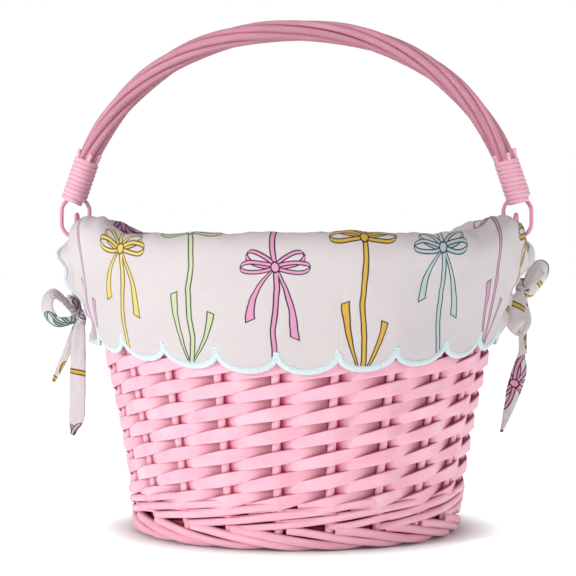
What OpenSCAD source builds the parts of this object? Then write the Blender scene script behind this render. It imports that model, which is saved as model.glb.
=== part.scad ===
// Round woven easter basket with a cloth liner and a twisted swing handle.
// Millimetres, +Z up. The origin is the centre of the footprint, on the surface the basket stands on.
// The front of the basket faces -Y and the handle spans from -X to +X.

/* [Basket wall] */
// Outer radius of the woven wall just above the foot
wall_foot_r = 115; // [100:1:130]
// Outward slope of the wall at its foot, in mm of radius per mm of height
wall_slope = 0.137; // [0.10:0.005:0.16]
// Extra flare of the wall, in mm of radius per square mm of height
wall_flare = 0.00052; // [0.0004:0.00002:0.0006]
// Height where the flare starts
wall_start_z = 23; // [20:1:26]
// Number of upright stakes, and of the weavers that climb between them
stake_count = 21; // [17:2:25]
// Diameter of a stake
stake_d = 4.4; // [3:0.1:5]
// Angle from +X to the first stake
stake_phase = 6.5; // [0:0.5:17]

/* [Weave] */
// Height that a weaver climbs from one stake to the next
weaver_climb = 7.3; // [6.5:0.1:8]
// Height of the middle of the lowest strand
weave_start_z = 31.5; // [31:0.5:34]
// Number of stakes that each weaver passes
weaver_passes = 20.5; // [18:0.5:20.5]
// Height of a strand where it lies over a stake
strand_h_over = 8.6; // [7:0.1:9]
// Height of a strand half way between two stakes
strand_h_mid = 6.6; // [5:0.1:7]
// Thickness of a strand
strand_t = 3.6; // [3:0.1:4]
// How far a strand swings in and out from the line of the stakes
strand_swing = 4.1; // [3.8:0.1:5]

/* [Foot and base] */
// Outer radius of the rolled border that the basket stands on
foot_r = 114; // [105:1:120]
// Width of the foot border
foot_w = 11; // [8:0.5:14]
// Height of the foot border
foot_h = 13.5; // [10:0.5:16]
// Number of rods in the band of waling above the foot
wale_rods = 3; // [2:1:4]
// Thickness of a waling rod
wale_rod_d = 3.2; // [2.6:0.1:3.4]
// Number of sticks in each half of the base cross
base_stick_count = 5; // [3:1:7]
// Diameter of a base stick
base_stick_d = 4; // [3:0.1:4]
// Top of the woven base
base_top_z = 18; // [17:0.5:20]

/* [Rim] */
// Top of the rim border
rim_top_z = 199.5; // [198:0.5:202]
// Height of the rim border
rim_h = 13; // [10:0.5:15]
// Outer radius of the rim border
rim_r = 153.5; // [148:0.5:156]
// Width of the rim border
rim_w = 12; // [9:0.5:13]
// Distance from the centre to each rim loop
loop_x = 152; // [148:0.5:156]
// Half width of a rim loop, between the centres of its legs
loop_half_w = 5.5; // [4.5:0.1:7]
// Diameter of the rod of the rim loops and the handle rings
ring_rod_d = 2.7; // [2:0.1:3]
// Top of a rim loop
loop_top_z = 218.5; // [215:0.5:220]

/* [Handle] */
// Half span of the arch's outline, of which the handle is the upper part
handle_half_span = 159; // [156:0.5:162]
// Height of the centre line of the handle at the top of the arch
handle_top_z = 344; // [330:1:360]
// Height of the middle of the arch's outline
handle_mid_z = 175; // [170:1:180]
// Squareness of the arch's outline, where 2 is an ellipse
handle_square = 2.2; // [2.1:0.05:2.3]
// Number of strands laid round the core
handle_strands = 6; // [5:1:6]
// Diameter of a handle strand
handle_strand_d = 5; // [4:0.1:5]
// Turns of the strands round the core from end to end
handle_turns = 1.5; // [0.5:0.25:3]
// Height of the hinge axis, the middle of the lowest rod of each ring
hinge_z = 201.5; // [201.5:0.5:203]
// Outer width of a handle ring
ring_w = 22; // [18:0.5:24]
// Outer height of a handle ring
ring_h = 30; // [28:0.5:32]
// Outer diameter of the binding at each end of the handle
wrap_d = 18; // [17.5:0.5:20]
// Length of the binding
wrap_l = 33; // [20:1:40]
// Lean of the binding from upright
wrap_lean = 19; // [16:1:21]
// Lower end of the binding
wrap_z = 225; // [223:0.5:228]

/* [Liner] */
// Thickness of the liner cloth
cloth_t = 1.5; // [1:0.1:2]
// Gap between the outside of the wall and the inside of the bag
bag_inset = 13; // [12.5:0.5:16]
// Top of the cuff where it folds over the rim
cuff_top_z = 204.2; // [203:0.1:205]
// Height of the points between the scallops
cusp_z = 134; // [125:1:150]
// Depth of a scallop
scallop_depth = 12; // [8:0.5:16]
// Number of scallops on each half of the cuff
scallops = 11; // [7:2:15]
// Half width of the slit in the cuff at each end of the handle, in degrees
slit_half = 4.5; // [4:0.5:8]
// Width of the overlocked edge
edging_w = 4.4; // [3:0.1:6]
// Thickness of the overlocked edge
edging_t = 2.2; // [1.8:0.1:3]

/* [Ties] */
// Height of the left knot
left_knot_z = 145; // [140:1:170]
// Height of the right knot
right_knot_z = 166; // [140:1:175]
// Width of a tie ribbon
tie_w = 11; // [8:0.5:14]
// Thickness of a folded tie
tie_t = 1.6; // [1:0.1:3]
// Length of the loops of the left bow
left_loop = 32; // [22:1:34]
// Length of the loops of the right bow
right_loop = 26; // [22:1:30]
// Length of the longer tail of each bow
long_tail = 82; // [60:1:90]
// Length of the shorter tail of each bow
short_tail = 48; // [30:1:60]

/* [Hidden] */
$fn = 48;
pitch = 360 / stake_count;
stake_inset = strand_t / 2 + strand_swing;
stake_bottom_z = foot_h + 1.2;
stake_top_z = rim_top_z - rim_h - 1.2;
rings_per_pass = 2;
ring_r = ring_rod_d / 2;
bag_top_z = rim_top_z;
bag_r_max = rim_r - rim_w - 1;
cuff_half_angle = 90 - slit_half;
rings_per_scallop = 6;
handle_rise = handle_top_z - handle_mid_z;
handle_end_z = wrap_z + 6;
handle_end_angle = acos(pow((handle_end_z - handle_mid_z) / handle_rise, handle_square / 2));
ring_x = loop_x + 1;
wrap_mid_z = wrap_z + wrap_l / 2 * cos(wrap_lean);
knot_r = 6;
// Colours: the willow, the handle's willow, the cloth and its overlocked edge
pink = [0.93, 0.66, 0.75];
dusty_pink = [0.80, 0.56, 0.63];
cream = [0.93, 0.90, 0.90];
pale_blue = [0.84, 0.90, 0.94];

WEAVER_NODES = [for (k = [1 : stake_count]) str("weaver_", k < 10 ? "0" : "", k)];
WALE_NODES = [for (k = [1 : wale_rods]) str("wale_rod_", k)];
STRAND_NODES = [for (k = [1 : handle_strands]) str("handle_strand_", k)];

// Outer radius of the woven wall at height z
function wall_r(z) =
    wall_foot_r + wall_slope * (z - wall_start_z) + wall_flare * pow(z - wall_start_z, 2);

// Point at a radius, an angle and a height
function polar(r, a, z) = [r * cos(a), r * sin(a), z];

// Skins a row of equal rings of points into one closed solid
module skin(rings) {
    n = len(rings[0]);
    last = len(rings) - 1;
    points = [for (ring = rings) each ring];
    sides = [
        for (i = [0 : last - 1], j = [0 : n - 1])
            let (a = i * n + j, b = i * n + (j + 1) % n)
            each [[a, a + n, b + n], [a, b + n, b]]
    ];
    first_cap = [for (j = [1 : n - 2]) [0, j, j + 1]];
    last_cap = [for (j = [1 : n - 2]) [last * n, last * n + j + 1, last * n + j]];
    polyhedron(points = points, faces = concat(sides, first_cap, last_cap), convexity = 6);
}

// One ring of a band that runs round the wall: its middle, thickness and height
function band_ring(r, a, z, t, h) = [
    polar(r - t / 2, a, z - h / 2),
    polar(r - t / 2, a, z + h / 2),
    polar(r + t / 2, a, z + h / 2),
    polar(r + t / 2, a, z - h / 2)
];

// A strand that climbs round the basket, over one stake and behind the next
module weaver(k) {
    rings = [
        for (i = [0 : weaver_passes * rings_per_pass])
            let (
                m = i / rings_per_pass,
                z = weave_start_z + weaver_climb * m,
                r = wall_r(z) - stake_inset + strand_swing * cos(180 * m),
                h = strand_h_mid + (strand_h_over - strand_h_mid) * pow(cos(180 * m), 2)
            )
            band_ring(r, stake_phase + pitch * (k + m), z, strand_t, h)
    ];
    color(pink) skin(rings);
}

// A waling rod, over two stakes and behind one, two rounds above the foot
module wale_rod(k) {
    rounds = 2;
    climb = 1.3 * wale_rod_d;
    rings = [
        for (i = [0 : rounds * stake_count * rings_per_pass])
            let (
                m = i / rings_per_pass,
                lift = climb * m / stake_count,
                z = foot_h + wale_rod_d / 2 + 0.3 + lift + (k - 1) * wale_rod_d / 4,
                wave = cos(120 * (m + k)),
                r = wall_r(z) - stake_inset + (wave > -0.5 ? 1 : -1) * (strand_swing - 0.2)
            )
            band_ring(r, stake_phase + pitch * (m + 7 * k), z, wale_rod_d, wale_rod_d)
    ];
    color(pink) skin(rings);
}

// One stake, an arc that follows the flare of the wall
module stake() {
    mid_z = (stake_bottom_z + stake_top_z) / 2;
    bend_r = 1 / (2 * wall_flare);
    lean = atan(wall_slope + 2 * wall_flare * (mid_z - wall_start_z));
    sweep = 2 * asin((stake_top_z - stake_bottom_z) / 2 / bend_r / cos(lean));
    mid_r = wall_r(mid_z) - stake_inset;
    translate([mid_r + bend_r * cos(lean), 0, mid_z - bend_r * sin(lean)])
        rotate([90, 0, 0])
        rotate(180 - lean - sweep / 2)
        rotate_extrude(angle = sweep)
        translate([bend_r, 0])
        circle(d = stake_d);
}

module side_stakes() {
    color(pink)
        for (k = [0 : stake_count - 1])
            rotate(stake_phase + k * pitch) stake();
}

// The rolled border that the basket stands on, with a flat underside
module foot_border() {
    bevel = 3;
    color(pink)
        rotate_extrude($fn = 96)
        polygon([
            [foot_r - foot_w + bevel, 0],
            [foot_r - bevel, 0],
            [foot_r, bevel],
            [foot_r, foot_h - bevel],
            [foot_r - bevel, foot_h],
            [foot_r - foot_w + bevel, foot_h],
            [foot_r - foot_w, foot_h - bevel],
            [foot_r - foot_w, bevel]
        ]);
}

// Parallel sticks that cross the base, each as long as the circle allows
module base_sticks(z) {
    inner_r = foot_r - foot_w - 0.5;
    spacing = 4.6;
    for (i = [0 : base_stick_count - 1]) {
        y = (i - (base_stick_count - 1) / 2) * spacing;
        half = sqrt(inner_r * inner_r - y * y);
        translate([-half, y, z]) rotate([0, 90, 0]) cylinder(d = base_stick_d, h = 2 * half);
    }
}

module base_sticks_lower() {
    color(pink) base_sticks(base_top_z - 4.5 - 1.5 * base_stick_d);
}

module base_sticks_upper() {
    color(pink) rotate(90) base_sticks(base_top_z - 4.3 - base_stick_d / 2);
}

// The woven disc of the base, ridged like the rods that it is woven from
module base_weave() {
    outer_r = foot_r - foot_w - 1;
    ridges = 14;
    ridge_w = outer_r / ridges;
    low_z = base_top_z - 4;
    color(pink)
        rotate_extrude($fn = 96)
        polygon(concat(
            [[0, low_z]],
            [for (i = [0 : ridges - 1]) each [
                [(i + 0.5) * ridge_w, low_z],
                [(i + 1) * ridge_w, low_z + (i < ridges - 1 ? 0.8 : 0)]
            ]],
            [[outer_r, base_top_z - 1]],
            [for (i = [ridges - 1 : -1 : 0]) each [
                [(i + 0.5) * ridge_w, base_top_z],
                [i * ridge_w, base_top_z - (i > 0 ? 1 : 0)]
            ]]
        ));
}

// The rim border, under the fold of the liner
module rim_border() {
    bevel = 3.5;
    low_z = rim_top_z - rim_h;
    color(pink)
        rotate_extrude($fn = 96)
        polygon([
            [rim_r - rim_w + bevel, low_z],
            [rim_r - bevel, low_z],
            [rim_r, low_z + bevel],
            [rim_r, rim_top_z - bevel],
            [rim_r - bevel, rim_top_z],
            [rim_r - rim_w + bevel, rim_top_z],
            [rim_r - rim_w, rim_top_z - bevel],
            [rim_r - rim_w, low_z + bevel]
        ]);
}

// An upside-down U of rod, its legs pushed down into the rim border
module rim_loop() {
    arc_z = loop_top_z - ring_r - loop_half_w;
    leg_bottom_z = rim_top_z - rim_h + 4;
    color(dusty_pink)
        translate([loop_x, 0, 0]) {
            translate([0, 0, arc_z])
                rotate([90, 0, 90])
                rotate_extrude(angle = 180)
                translate([loop_half_w, 0])
                circle(r = ring_r);
            for (side = [-1, 1])
                translate([0, side * loop_half_w, leg_bottom_z])
                    cylinder(r = ring_r, h = arc_z - leg_bottom_z);
        }
}

// The long ring at each end of the handle, hooked under the rim loop
module handle_ring() {
    bend_r = ring_w / 2 - ring_r;
    straight = ring_h - ring_w;
    low_z = hinge_z + bend_r;
    color(dusty_pink)
        translate([ring_x, 0, low_z]) {
            for (end = [0, 1])
                translate([0, 0, end * straight])
                    rotate([90, 0, 0])
                    rotate(end * 180 + 180)
                    rotate_extrude(angle = 180)
                    translate([bend_r, 0])
                    circle(r = ring_r);
            for (side = [-1, 1])
                translate([side * bend_r, 0, 0]) cylinder(r = ring_r, h = straight);
        }
}

// The rod wound round the end of the handle
module handle_wrap() {
    bundle_d = 3 * handle_strand_d + 0.8;
    up = (wrap_mid_z - handle_mid_z) / handle_rise;
    mid_x = handle_half_span * pow(1 - pow(up, handle_square), 1 / handle_square);
    color(dusty_pink)
        translate([mid_x, 0, wrap_mid_z])
        rotate([0, -wrap_lean, 0])
        difference() {
            cylinder(d = wrap_d, h = wrap_l, center = true);
            cylinder(d = bundle_d, h = wrap_l + 2, center = true);
        }
}

// A power of a number that keeps the number's sign
function signed_pow(x, power) = sign(x) * pow(abs(x), power);

// Point on the handle arch, and its outward direction, at an angle from the top
function arch(u) = [
    handle_half_span * signed_pow(sin(u), 2 / handle_square),
    0,
    handle_mid_z + handle_rise * pow(cos(u), 2 / handle_square)
];
function arch_out(u) =
    let (
        power = 2 - 2 / handle_square,
        n = [handle_rise * signed_pow(sin(u), power), 0, handle_half_span * pow(cos(u), power)]
    )
    n / norm(n);

// A round strand that keeps a distance from the arch and winds round it
module arch_strand(offset_r, start_angle, turns, strand_r, sides, steps) {
    rings = [
        for (i = [0 : steps])
            let (
                s = i / steps,
                u = handle_end_angle * (2 * s - 1),
                out = arch_out(u),
                front = [0, -1, 0],
                a = start_angle + 360 * turns * s,
                middle = arch(u) + offset_r * (cos(a) * out + sin(a) * front)
            )
            [for (j = [0 : sides - 1])
                let (b = 360 * j / sides)
                middle + strand_r * (cos(b) * out + sin(b) * front)]
    ];
    skin(rings);
}

module handle_core() {
    color(dusty_pink) arch_strand(0, 0, 0, handle_strand_d / 2 - 0.15, 6, 24);
}

module handle_strand(k) {
    color(dusty_pink)
        arch_strand(handle_strand_d, 60 * k, handle_turns, handle_strand_d / 2 - 0.02, 6, 36);
}

// The bag of the liner, from the base up the inside of the wall to the rim
module liner_bag() {
    floor_z = base_top_z + 0.3;
    steps = 6;
    heights = [for (i = [0 : steps]) floor_z + (bag_top_z - floor_z) * i / steps];
    outer = [for (z = heights) [min(wall_r(z) - bag_inset, bag_r_max), z]];
    inner = [for (p = outer) [p[0] - cloth_t, max(p[1], floor_z + cloth_t)]];
    color(cream)
        rotate_extrude($fn = 96)
        polygon(concat(
            [[0, floor_z]],
            outer,
            [for (i = [steps : -1 : 0]) inner[i]],
            [[0, floor_z + cloth_t]]
        ));
}

// Height of the lower edge of the cuff, at a place counted in scallops
function scallop_z(s) =
    let (f = 2 * (s - floor(s)) - 1) cusp_z - scallop_depth * sqrt(max(0, 1 - f * f));

// Outer radius of the cuff at its lower edge
function cuff_r(z) = wall_r(z) + 3 + (z - cusp_z + scallop_depth) * 0.03;

// Section of the cuff at an angle: over the rim from the bag and down the outside
function cuff_section(a, low_z) =
    let (
        in_r = bag_r_max - cloth_t,
        outside = [
            [in_r, rim_top_z + 0.3],
            [in_r + 1.5, cuff_top_z - 1.6],
            [in_r + 6, cuff_top_z],
            [rim_r - 1.5, cuff_top_z - 0.7],
            [rim_r + 5, cuff_top_z - 6],
            [rim_r + 4.3, cuff_top_z - 14],
            [wall_r(175) + 5.5, 175],
            [cuff_r(low_z), low_z]
        ],
        inside = [
            [cuff_r(low_z) - cloth_t, low_z],
            [wall_r(175) + 5.5 - cloth_t, 175],
            [rim_r + 4.3 - cloth_t, cuff_top_z - 14],
            [rim_r + 5 - cloth_t, cuff_top_z - 6.7],
            [rim_r - 2.3, cuff_top_z - 0.7 - cloth_t],
            [in_r + 6.4, cuff_top_z - cloth_t],
            [in_r + 1.5 + cloth_t * 0.7, cuff_top_z - 2.6],
            [in_r + cloth_t, rim_top_z + 0.3]
        ]
    )
    [for (p = concat(outside, inside)) polar(p[0], a, p[1])];

// One half of the cuff, centred on +X, with a scalloped lower edge
module cuff() {
    steps = scallops * rings_per_scallop;
    color(cream)
        skin([
            for (i = [0 : steps])
                cuff_section(
                    cuff_half_angle * (2 * i / steps - 1),
                    scallop_z(min(i / rings_per_scallop, scallops - 0.001)) + edging_w / 2
                )
        ]);
}

// The overlocked edge along the scallops of one half of the cuff
module cuff_edging() {
    steps = scallops * rings_per_scallop;
    color(pale_blue)
        skin([
            for (i = [0 : steps])
                let (z = scallop_z(min(i / rings_per_scallop, scallops - 0.001)))
                band_ring(
                    cuff_r(z) - cloth_t / 2,
                    cuff_half_angle * (2 * i / steps - 1),
                    z,
                    edging_t,
                    edging_w - 0.1
                )
        ]);
}

// Where a knot sits, just outside the cuff
function knot_at(z) = [cuff_r(z) + knot_r + 1, 0, z];

module tie_knot(z) {
    color(cream) translate(knot_at(z)) sphere(r = knot_r);
}

// One tie: a loop standing out from the knot and a tail hanging below it, on the -Y side
module tie(z, loop_angle, loop_l, tail_l) {
    loop_w = 17;
    gap = 0.4;
    color(cream)
        translate(knot_at(z)) {
            translate([0, -knot_r - gap, 0])
                rotate([90 + 20, loop_angle, 0])
                translate([loop_l / 2 - 4, 0, 0])
                linear_extrude(height = 2 * tie_t)
                difference() {
                    loop_outline(loop_l, loop_w);
                    loop_outline(loop_l - 8, loop_w - 8);
                }
            translate([-tie_t, -knot_r - gap - tie_w, -tail_l])
                cube([tie_t, tie_w, tail_l - knot_r * 0.2]);
        }
}

// An oval outline, longer than it is wide
module loop_outline(l, w) {
    sides = 24;
    polygon([
        for (i = [0 : sides - 1])
            let (a = 360 * i / sides)
            [l / 2 * cos(a), w / 2 * sin(a)]
    ]);
}

// Mirrors a sub-part from the right of the basket to the left
module left() {
    mirror([1, 0, 0]) children();
}

foot_border();
base_sticks_lower();
base_sticks_upper();
base_weave();
side_stakes();
rim_border();
left() rim_loop();  // rim_loop_left
rim_loop();  // rim_loop_right
for (k = [1 : wale_rods])
    wale_rod(k);
for (k = [1 : stake_count])
    weaver(k);
handle_core();
left() handle_wrap();  // handle_wrap_left
handle_wrap();  // handle_wrap_right
left() handle_ring();  // handle_ring_left
handle_ring();  // handle_ring_right
for (k = [1 : handle_strands])
    handle_strand(k);
liner_bag();
rotate(-90) cuff();  // cuff_front
rotate(90) cuff();  // cuff_back
rotate(-90) cuff_edging();  // cuff_edging_front
rotate(90) cuff_edging();  // cuff_edging_back
left() tie_knot(left_knot_z);  // tie_knot_left
tie_knot(right_knot_z);  // tie_knot_right
left() tie(left_knot_z, -30, left_loop, long_tail);  // tie_front_left
tie(right_knot_z, 40, right_loop, long_tail);  // tie_front_right
left() mirror([0, 1, 0]) tie(left_knot_z, 40, left_loop, short_tail);  // tie_back_left
mirror([0, 1, 0]) tie(right_knot_z, -20, right_loop, short_tail);  // tie_back_right
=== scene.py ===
"""Easter basket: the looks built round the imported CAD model. Metres, +Z up, the front faces -Y."""

import math

import bpy
import numpy as np
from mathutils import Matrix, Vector, noise


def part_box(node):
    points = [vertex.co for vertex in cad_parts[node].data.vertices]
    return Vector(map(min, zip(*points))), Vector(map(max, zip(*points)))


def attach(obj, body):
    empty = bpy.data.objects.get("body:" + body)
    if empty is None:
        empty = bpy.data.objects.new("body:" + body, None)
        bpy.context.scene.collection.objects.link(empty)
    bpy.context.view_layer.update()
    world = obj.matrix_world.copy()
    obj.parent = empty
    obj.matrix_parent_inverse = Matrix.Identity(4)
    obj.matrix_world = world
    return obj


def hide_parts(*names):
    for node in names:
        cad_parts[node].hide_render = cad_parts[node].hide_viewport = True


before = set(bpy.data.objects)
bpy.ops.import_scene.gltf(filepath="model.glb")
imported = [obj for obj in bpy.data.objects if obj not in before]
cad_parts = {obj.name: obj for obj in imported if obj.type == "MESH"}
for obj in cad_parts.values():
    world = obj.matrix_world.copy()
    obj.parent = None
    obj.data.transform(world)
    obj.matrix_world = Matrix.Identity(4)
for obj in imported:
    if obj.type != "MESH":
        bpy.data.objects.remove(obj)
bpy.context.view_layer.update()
MM = 0.001
FRONT = np.array([0.0, -1.0, 0.0])


# ------------ sizes, from the frame
def low(node):
    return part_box(node)[0]


def high(node):
    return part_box(node)[1]


def centre_of(node):
    return (np.array(low(node)) + np.array(high(node))) / 2


# Wall of the basket: radius = foot radius + slope * height + flare * height squared
WALL_SLOPE = 0.137
WALL_FLARE = 0.52
WALL_START_Z = 23 * MM
WALL_FOOT_R = high("foot_border").x + 1 * MM
STAKES = 21
STAKE_PHASE = math.radians(6.5)
PITCH = 2 * math.pi / STAKES
STAKE_HALF_OUT = 2.1 * MM
STAKE_HALF_SIDE = 2.8 * MM
STRAND_T = 2.6 * MM
STRAND_H = 9.2 * MM
STRAND_SWING = STAKE_HALF_OUT + STRAND_T / 2
STAKE_INSET = STRAND_SWING + STRAND_T / 2
WEAVER_CLIMB = 7.3 * MM
WEAVE_START_Z = 31.5 * MM
WEAVER_PASSES = 20.5

FOOT_R = high("foot_border").x
FOOT_H = high("foot_border").z
RIM_R = high("rim_border").x
RIM_Z = high("rim_border").z
RIM_LOW_Z = low("rim_border").z
BAG_R = high("liner_bag").x
BAG_FLOOR_Z = low("liner_bag").z
CUFF_TOP_Z = high("cuff_front").z
CUFF_LOW_Z = low("cuff_edging_front").z
EDGING_W = 4.4 * MM

WRAP_LOW = low("handle_wrap_right")
# The handle's centre line is the upper part of an outline that is a little squarer than an ellipse
HANDLE_TOP_Z = high("handle_core").z - 2.35 * MM
HANDLE_MID_Z = 175 * MM
HANDLE_HALF_SPAN = 159 * MM
HANDLE_SQUARE = 2.2
HANDLE_RISE = HANDLE_TOP_Z - HANDLE_MID_Z
HANDLE_STRAND_R = 2.5 * MM
HANDLE_TURNS = 1.5


def wall_r(z):
    """Outer radius of the woven wall at a height."""
    up = z - WALL_START_Z
    return WALL_FOOT_R + WALL_SLOPE * up + WALL_FLARE * up * up


def polar(r, angle, z):
    """Points at radii, angles and heights, as rows."""
    r, angle, z = np.broadcast_arrays(r, angle, z)
    return np.stack([r * np.cos(angle), r * np.sin(angle), z], axis=-1)


def smoothstep(a, b, x):
    """0 up to a, 1 from b, and smooth between; b may be below a."""
    t = np.clip((np.asarray(x, float) - a) / (b - a), 0, 1)
    return t * t * (3 - 2 * t)


def signed_power(x, power):
    return np.sign(x) * np.abs(x) ** power


def hump(x, centre, width):
    """1 at the centre, and smoothly down to 0 on both sides."""
    return np.exp(-(((x - centre) / width) ** 2))


def ripple(seed, x, scale):
    """Smooth noise between about -1 and 1 along a row of values."""
    return np.array([noise.noise(Vector((v / scale, seed * 7.31, seed * 1.7))) for v in np.ravel(x)])


def ripple_2d(seed, x, y, scale):
    """Smooth noise over a grid of values."""
    flat = [noise.noise(Vector((a / scale, b / scale, seed * 5.1))) for a, b in zip(np.ravel(x), np.ravel(y))]
    return np.array(flat).reshape(np.shape(x))


# ------------ mesh helpers
CUT_BEVEL = 0.4 * MM


def unit(v):
    return v / np.maximum(np.linalg.norm(v, axis=-1, keepdims=True), 1e-12)


def distance_along(path):
    """How far along a path each of its points is."""
    return np.concatenate([[0], np.cumsum(np.linalg.norm(np.diff(path, axis=0), axis=1))])


def grid_mesh(name, points, uvs, wrap_rows=False, wrap_cols=False, caps=False, tint=0.0, painted_shade=0.0):
    """A smooth mesh from a grid of points (rows, columns, 3), and UVs in metres. caps closes its ends."""
    rows, cols = points.shape[:2]
    r_count = rows if wrap_rows else rows - 1
    c_count = cols if wrap_cols else cols - 1
    i, j = np.meshgrid(np.arange(r_count), np.arange(c_count), indexing="ij")
    i, j = i.ravel(), j.ravel()
    i2, j2 = (i + 1) % rows, (j + 1) % cols
    quads = np.stack([i * cols + j, i * cols + j2, i2 * cols + j2, i2 * cols + j], axis=-1)
    quad_uvs = np.stack([uvs[i, j], uvs[i, j + 1], uvs[i + 1, j + 1], uvs[i + 1, j]], axis=1)
    faces = quads.tolist()
    loop_uvs = quad_uvs.reshape(-1, 2).tolist()
    if caps:
        faces.append(list(range(cols))[::-1])
        loop_uvs += uvs[0, :cols][::-1].tolist()
        faces.append([(rows - 1) * cols + c for c in range(cols)])
        loop_uvs += uvs[rows - 1, :cols].tolist()
    mesh = bpy.data.meshes.new(name)
    mesh.from_pydata(points.reshape(-1, 3).tolist(), [], faces)
    layer = mesh.uv_layers.new(name="UVMap")
    layer.data.foreach_set("uv", np.array(loop_uvs, float).ravel())
    # tint is a random tone per rod, and the second attribute is how much painted shade each point gets
    for attribute, value in (("tint", tint), ("painted_shade", painted_shade)):
        values = mesh.attributes.new(attribute, "FLOAT", "POINT")
        values.data.foreach_set("value", np.broadcast_to(value, (rows, cols)).astype(np.float32).ravel())
    mesh.polygons.foreach_set("use_smooth", [len(face) == 4 for face in faces])
    mesh.update()
    obj = bpy.data.objects.new(name, mesh)
    bpy.context.scene.collection.objects.link(obj)
    return obj


def thicken(obj, thickness):
    """Gives a sheet its thickness, half on each side."""
    solid = obj.modifiers.new("thickness", "SOLIDIFY")
    solid.thickness = thickness
    solid.offset = 0


def join(name, objects):
    """Joins objects into one, named after the whole."""
    bpy.ops.object.select_all(action="DESELECT")
    for obj in objects:
        obj.select_set(True)
    bpy.context.view_layer.objects.active = objects[0]
    bpy.ops.object.join()
    objects[0].name = name
    return objects[0]


def round_section(sides, power=2.0):
    """Points round a circle, or round a squarer shape at a higher power, from -1 to 1."""
    angle = np.arange(sides) * 2 * math.pi / sides
    return signed_power(np.cos(angle), 2 / power), signed_power(np.sin(angle), 2 / power)


def flat_section():
    """Points round a flat strip with soft corners, from -1 to 1."""
    corner = [(1, 0.7), (1, 0.84), (0.854, 0.953), (0.5, 1)]
    other = [(-x, y) for x, y in corner[::-1]]
    half = corner + other
    points = half + [(-x, -y) for x, y in half]
    return np.array(points, float).T


# Where the painted shade on the inner side of a rod begins and is full, from 1 at its outside to -1 at its
# inside
ROUND_SIDES = (0.3, -0.8)
STRAND_SIDES = (1.0, 0.3)
WALE_SIDES = (0.9, 0.1)
FOOT_SIDES = (0.6, -0.3)


def rod(name, path, out, half_out, half_side, section, closed=False, tint=0.0, painted_shade=0.0, inside_shade=0.0,
        sides=ROUND_SIDES):
    """A rod swept along a path, cut off at its ends. out is the direction of half_out, and half_side is
    across it. Its two shade amounts give painted shade, standing in for the shadow in the weave's hollows:
    how much each place gets, the further down in the weave the more, and how much its inner side gets."""
    path = np.asarray(path, float)
    out = np.broadcast_to(out, path.shape)
    count = len(path)
    rows = (half_out, half_side, painted_shade)
    half_out, half_side, painted_shade = [np.broadcast_to(row, (count,)).astype(float) for row in rows]
    if not closed:
        path = np.vstack([path[0], path[0] + CUT_BEVEL * unit(path[1] - path[0]), path[1:-1],
                          path[-1] + CUT_BEVEL * unit(path[-2] - path[-1]), path[-1]])
        out = np.vstack([out[:1], out, out[-1:]])
        half_out, half_side = [np.concatenate([half[:1] - CUT_BEVEL, half, half[-1:] - CUT_BEVEL])
                               for half in (half_out, half_side)]
        painted_shade = np.concatenate([painted_shade[:1], painted_shade, painted_shade[-1:]])
        count += 2
    if closed:
        along = np.roll(path, -1, 0) - np.roll(path, 1, 0)
    else:
        along = np.gradient(path, axis=0)
    along = unit(along)
    side = unit(np.cross(along, out))
    out = np.cross(side, along)
    x, y = section
    inside = inside_shade * smoothstep(*sides, x)
    points = (
        path[:, None, :]
        + out[:, None, :] * (half_out[:, None] * x[None, :])[..., None]
        + side[:, None, :] * (half_side[:, None] * y[None, :])[..., None]
    )
    step = np.linalg.norm(np.diff(path, axis=0, append=path[:1]), axis=1)
    length = np.concatenate([[0], np.cumsum(step)])
    girth = math.pi * (half_out.mean() + half_side.mean())
    u = length if closed else length[:count]
    v = np.linspace(0, girth, len(x) + 1)
    uvs = np.stack(np.meshgrid(u, v, indexing="ij"), axis=-1)
    strongest_shade = np.maximum(painted_shade[:, None], inside[None, :])
    return grid_mesh(name, points, uvs, closed, True, not closed, tint, strongest_shade)


def smooth_path(points, count):
    """An even, smooth path through a few points, as a Catmull-Rom curve."""
    p = np.asarray(points, float)
    p = np.vstack([2 * p[0] - p[1], p, 2 * p[-1] - p[-2]])
    t = np.linspace(0, len(p) - 3 - 1e-9, count)
    k = t.astype(int)
    f = (t - k)[:, None]
    a, b, c, d = p[k], p[k + 1], p[k + 2], p[k + 3]
    return 0.5 * (2 * b + (c - a) * f + (2 * a - 5 * b + 4 * c - d) * f**2 + (3 * b - a - 3 * c + d) * f**3)


# ------------ shader helpers
def srgb(r, g, b):
    """A colour given as 0 to 255 screen values, as linear RGBA."""
    def linear(c):
        c /= 255
        return c / 12.92 if c <= 0.04045 else ((c + 0.055) / 1.055) ** 2.4
    return (linear(r), linear(g), linear(b), 1.0)


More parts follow.
